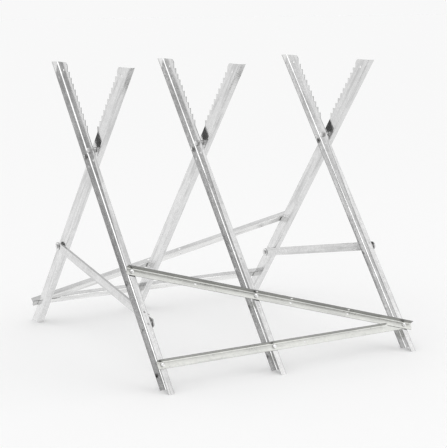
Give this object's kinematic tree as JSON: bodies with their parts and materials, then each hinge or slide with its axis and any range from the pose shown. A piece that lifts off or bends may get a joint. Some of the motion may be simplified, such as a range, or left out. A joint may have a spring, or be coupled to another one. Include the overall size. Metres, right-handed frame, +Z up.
{
  "type": "folding log sawhorse",
  "caption": "Folding sheet-steel log sawhorse: crossed channel legs with toothed upper arms, pivoted at the crossing, joined by lower and diagonal rails and held open by hooked braces.",
  "frame": {"origin": "on the floor, under the middle of the open sawhorse", "axes": "+X along the log, -Y is the front with the diagonal rail high at the left, +Z up"},
  "size_m": [0.8392, 0.9012, 0.792],
  "materials": {
    "galvanised_sheet": "bright hot-dip galvanised sheet",
    "rail_sheet": "bright galvanised sheet",
    "bolt_zinc": "zinc-plated bolts and nuts",
    "plain_zinc": "zinc-plated washers and spacers"
  },
  "bodies": {
    "front_frame": {"front_leg_left": "galvanised_sheet", "front_leg_middle": "galvanised_sheet", "front_leg_right": "galvanised_sheet", "front_lower_rail": "rail_sheet", "front_diagonal_rail": "rail_sheet", "front_rail_washers": "plain_zinc", "front_rail_bolts": "bolt_zinc", "front_rail_nuts": "bolt_zinc", "pivot_bolts": "bolt_zinc", "pivot_head_washers": "plain_zinc", "pivot_spacers": "plain_zinc", "pivot_nut_washers": "plain_zinc", "pivot_nuts": "bolt_zinc", "left_hinge_bolt": "bolt_zinc", "left_hinge_spacer": "plain_zinc", "left_hinge_washer": "plain_zinc", "left_hinge_nut": "bolt_zinc", "right_hook_bolt": "bolt_zinc", "right_hook_spacer": "plain_zinc", "right_hook_washer": "plain_zinc", "right_hook_nut": "bolt_zinc"},
    "rear_frame": {"rear_leg_left": "galvanised_sheet", "rear_leg_middle": "galvanised_sheet", "rear_leg_right": "galvanised_sheet", "rear_lower_rail": "rail_sheet", "rear_diagonal_rail": "rail_sheet", "rear_rail_washers": "plain_zinc", "rear_rail_bolts": "bolt_zinc", "rear_rail_nuts": "bolt_zinc", "right_hinge_bolt": "bolt_zinc", "right_hinge_spacer": "plain_zinc", "right_hinge_washer": "plain_zinc", "right_hinge_nut": "bolt_zinc", "left_hook_bolt": "bolt_zinc", "left_hook_spacer": "plain_zinc", "left_hook_washer": "plain_zinc", "left_hook_nut": "bolt_zinc"},
    "left_brace": {"left_brace": "rail_sheet"},
    "right_brace": {"right_brace": "rail_sheet"}
  },
  "joints": [
    {"name": "fold", "type": "hinge", "parent": "front_frame", "child": "rear_frame", "pos_m": [0, 0, 0.563], "axis": [-1, 0, 0], "range_deg": [0, 70]},
    {"name": "left_brace_swing", "type": "hinge", "parent": "front_frame", "child": "left_brace", "pos_m": [-0.386, -0.31877, 0.15213], "axis": [1, 0, 0], "range_deg": [0, 39]},
    {"name": "right_brace_swing", "type": "hinge", "parent": "rear_frame", "child": "right_brace", "pos_m": [0.386, 0.31877, 0.15213], "axis": [-1, 0, 0], "range_deg": [0, 39]}
  ],
  "couplings": [
    {"joint": "left_brace_swing", "follows": "fold", "ratio": 0.54},
    {"joint": "right_brace_swing", "follows": "fold", "ratio": 0.54}
  ]
}
